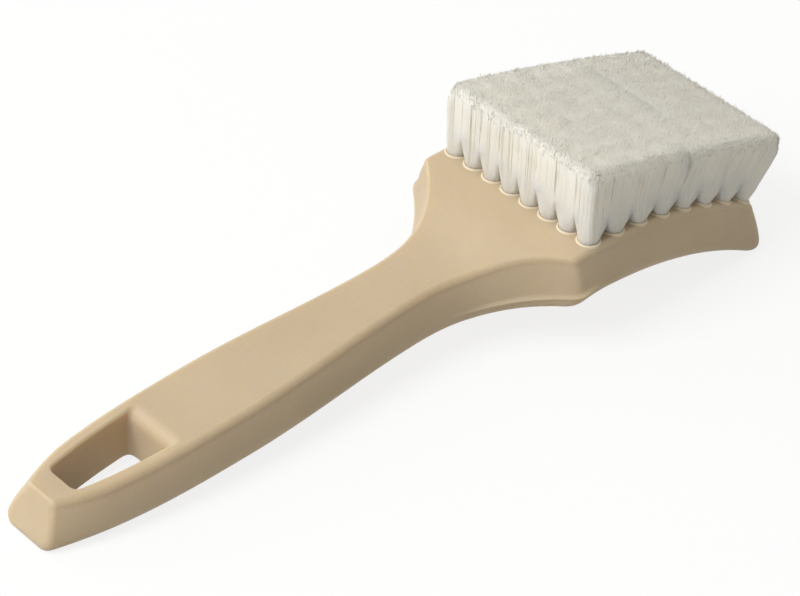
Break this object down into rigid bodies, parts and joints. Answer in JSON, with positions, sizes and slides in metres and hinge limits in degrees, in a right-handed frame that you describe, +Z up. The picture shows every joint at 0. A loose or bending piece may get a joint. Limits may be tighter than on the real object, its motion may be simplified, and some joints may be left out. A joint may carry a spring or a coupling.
{
  "type": "tire brush",
  "caption": "Hand brush for washing tires: a moulded handle with a hanging slot flares into an arched head, which carries a fan of stiff nylon tufts.",
  "frame": {"origin": "middle of the box round the brush, on the surface that it lies on, bristles up", "axes": "+X from the tail of the handle to the nose of the head, +Y to the left, +Z up out of the bristles"},
  "size_m": [0.2258, 0.06, 0.0495],
  "materials": {
    "handle": "tan moulded plastic, satin",
    "bristles": "white nylon filament, slightly translucent",
    "anchors": "bare flat wire"
  },
  "bodies": {
    "root": {"handle_block": "handle", "bristle_rows_1_2": "bristles", "bristle_rows_3_4": "bristles", "bristle_rows_5_6": "bristles", "bristle_rows_7_8": "bristles", "anchor_rows_1_2_column_1": "anchors", "anchor_rows_1_2_column_2": "anchors", "anchor_rows_1_2_column_3": "anchors", "anchor_rows_1_2_column_4": "anchors", "anchor_rows_1_2_column_5": "anchors", "anchor_rows_1_2_column_6": "anchors", "anchor_rows_1_2_column_7": "anchors", "anchor_rows_1_2_column_8": "anchors", "anchor_rows_3_4_column_1": "anchors", "anchor_rows_3_4_column_2": "anchors", "anchor_rows_3_4_column_3": "anchors", "anchor_rows_3_4_column_4": "anchors", "anchor_rows_3_4_column_5": "anchors", "anchor_rows_3_4_column_6": "anchors", "anchor_rows_3_4_column_7": "anchors", "anchor_rows_3_4_column_8": "anchors", "anchor_rows_5_6_column_1": "anchors", "anchor_rows_5_6_column_2": "anchors", "anchor_rows_5_6_column_3": "anchors", "anchor_rows_5_6_column_4": "anchors", "anchor_rows_5_6_column_5": "anchors", "anchor_rows_5_6_column_6": "anchors", "anchor_rows_5_6_column_7": "anchors", "anchor_rows_5_6_column_8": "anchors", "anchor_rows_7_8_column_1": "anchors", "anchor_rows_7_8_column_2": "anchors", "anchor_rows_7_8_column_3": "anchors", "anchor_rows_7_8_column_4": "anchors", "anchor_rows_7_8_column_5": "anchors", "anchor_rows_7_8_column_6": "anchors", "anchor_rows_7_8_column_7": "anchors", "anchor_rows_7_8_column_8": "anchors"}
  },
  "joints": []
}
